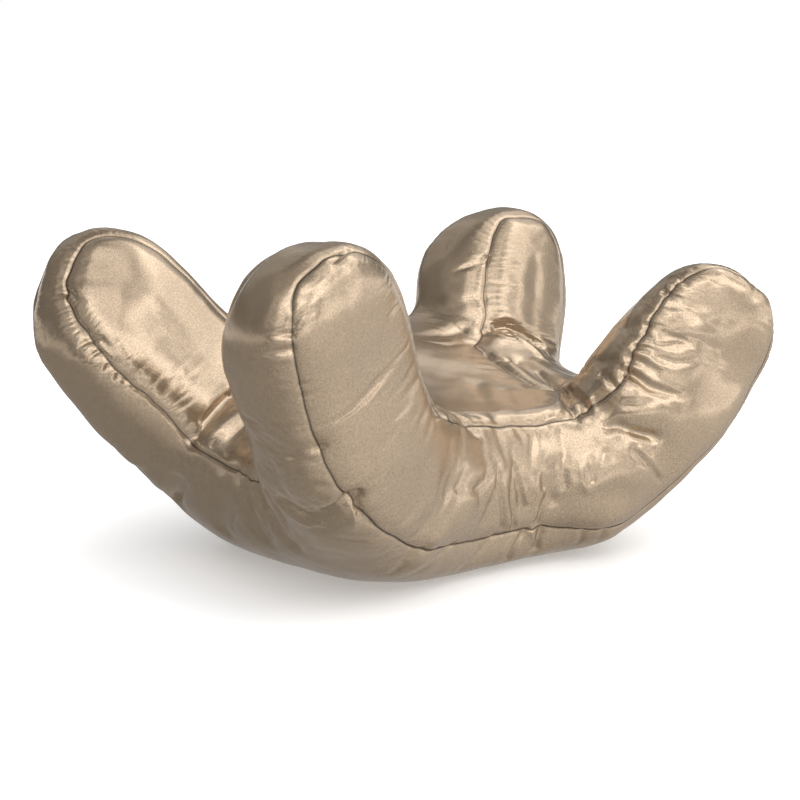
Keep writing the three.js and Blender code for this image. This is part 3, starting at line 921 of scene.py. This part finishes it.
finished = add_node(tree, "GeometryNodeSetMaterial", Geometry=realized.outputs["Geometry"])
tree.links.new(given["Thread"], finished.inputs["Material"])
add_node(tree, "NodeGroupOutput", Stitches=finished.outputs["Geometry"])

sewing = line.modifiers.new("sewing", "NODES")
sewing.node_group = tree
for name, value in STITCH_SIZES.items():
    sewing[size_inputs[name]] = value * MM
sewing[finish] = thread
stitches_mesh = bpy.data.meshes.new_from_object(line.evaluated_get(bpy.context.evaluated_depsgraph_get()))
stitches = bpy.data.objects.new("stitches", stitches_mesh)
bpy.context.scene.collection.objects.link(stitches)
bpy.data.objects.remove(line)
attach(stitches, "root")

# Studio
# A white paper floor that glows pure white away from the pillow, with a painted shadow in its dimmer glow
# under the pillow, and large soft lamps, the strongest of them to the right of the camera.
FLOOR = 60
floor_mesh = bpy.data.meshes.new("floor")
floor_corners = [(-FLOOR, -FLOOR, 0), (FLOOR, -FLOOR, 0), (FLOOR, FLOOR, 0), (-FLOOR, FLOOR, 0)]
floor_mesh.from_pydata(floor_corners, [], [(0, 1, 2, 3)])
floor = bpy.data.objects.new("floor", floor_mesh)
bpy.context.scene.collection.objects.link(floor)
paper = bpy.data.materials.new("white paper")
paper.use_nodes = True
tree = paper.node_tree
surface = tree.nodes["Principled BSDF"]
surface.inputs["Base Color"].default_value = linear("F0F0F0")
surface.inputs["Roughness"].default_value = 0.9
surface.inputs["Emission Color"].default_value = (1, 1, 1, 1)
# Matt white paper shows no gloss. It glows with painted light: full from 0.42 m away, so that the paper is
# evenly white, and dim under the pillow as a painted shadow.
glow = {"From Min": 0.12, "From Max": 0.42, "To Min": 0.3}
coordinates = add_node(tree, "ShaderNodeTexCoord")
away = add_node(tree, "ShaderNodeVectorMath", {"operation": "LENGTH"})
tree.links.new(coordinates.outputs["Object"], away.inputs[0])
# Painted light and shadow: the floor's glow, dim close to the pillow and full further away.
glow_with_painted_shadow = add_node(tree, "ShaderNodeMapRange", glow, Value=away.outputs["Value"])
tree.links.new(glow_with_painted_shadow.outputs["Result"], surface.inputs["Emission Strength"])
floor_mesh.materials.append(paper)
# The satin doesn't mirror the floor, but the even light below that stands in for it.
floor.visible_glossy = False

# Each lamp is a square at one distance from the pillow. It stands at an angle round it, counted from the
# front towards the right, and an angle above the floor, in degrees.
PILLOW_MIDDLE = Vector((0, 0, 0.1))
LAMP_DISTANCE = 2
LAMP_SIZE = 1.3
LAMP_COLUMNS = ["around", "above", "watts"]
LAMPS = [
    [-150, 40, 0.5],
    [-120, 65, 1],
    [-90, 40, 2],
    [-50, 40, 7.7],
    [-40, 65, 7],
    [-35, 15, 1.7],
    [-20, 40, 1.3],
    [-10, 15, 4.7],
    [10, 40, 10.5],
    [15, 15, 1.2],
    [40, 15, 5],
    [40, 40, 2.5],
    [40, 65, 1.1],
    [70, 15, 1.9],
    [75, 48, 8],
    [100, 70, 4.5],
    [110, 45, 4.5],
    [140, 30, 1],
    [172, 35, 1.5],
]
for values in LAMPS:
    lamp = dict(zip(LAMP_COLUMNS, values))
    around, above = radians(lamp["around"]), radians(lamp["above"])
    direction = Vector((np.sin(around) * np.cos(above), -np.cos(around) * np.cos(above), np.sin(above)))
    light = bpy.data.lights.new("lamp", "AREA")
    light.size = LAMP_SIZE
    light.energy = lamp["watts"]
    shown = bpy.data.objects.new("lamp", light)
    shown.location = PILLOW_MIDDLE + direction * LAMP_DISTANCE
    shown.rotation_euler = (-direction).to_track_quat("-Z", "Y").to_euler()
    bpy.context.scene.collection.objects.link(shown)

# The walls are dim, apart from a white strip that joins the far edge of the floor. In place of the floor the
# satin mirrors an even light, stronger towards the right and the front.
WALL_LIGHT = 0.1
GROUND_LIGHT = 0.22
RIGHT_LIGHT = 0.43
FRONT_LIGHT = 0.52
world = bpy.data.worlds.new("studio")
world.use_nodes = True
tree = world.node_tree
mirrored = add_node(tree, "ShaderNodeTexCoord").outputs["Generated"]
parts = add_node(tree, "ShaderNodeSeparateXYZ", Vector=mirrored)
strip = {"From Min": 0.03, "From Max": 0.09, "To Min": 1, "To Max": WALL_LIGHT}
strip_light = add_node(tree, "ShaderNodeMapRange", strip, Value=parts.outputs["Z"])
rightwards = {"To Min": GROUND_LIGHT, "To Max": GROUND_LIGHT + RIGHT_LIGHT}
to_right = add_node(tree, "ShaderNodeMapRange", rightwards, Value=parts.outputs["X"])
forwards = {"From Max": -1, "To Max": FRONT_LIGHT}
to_front = add_node(tree, "ShaderNodeMapRange", forwards, Value=parts.outputs["Y"])
ground = add_node(tree, "ShaderNodeMath", {"operation": "ADD"})
tree.links.new(to_right.outputs["Result"], ground.inputs[0])
tree.links.new(to_front.outputs["Result"], ground.inputs[1])
below = {"From Min": -0.09, "From Max": -0.03}
split = add_node(tree, "ShaderNodeMapRange", below, Value=parts.outputs["Z"])
around_pillow = add_node(tree, "ShaderNodeMix", {"data_type": "FLOAT"}, Factor=split.outputs["Result"])
tree.links.new(ground.outputs["Value"], around_pillow.inputs["A"])
tree.links.new(strip_light.outputs["Result"], around_pillow.inputs["B"])
background = tree.nodes["Background"]
background.inputs["Color"].default_value = (1, 1, 1, 1)
tree.links.new(around_pillow.outputs["Result"], background.inputs["Strength"])
bpy.context.scene.world = world
bpy.context.scene.view_settings.view_transform = "Standard"
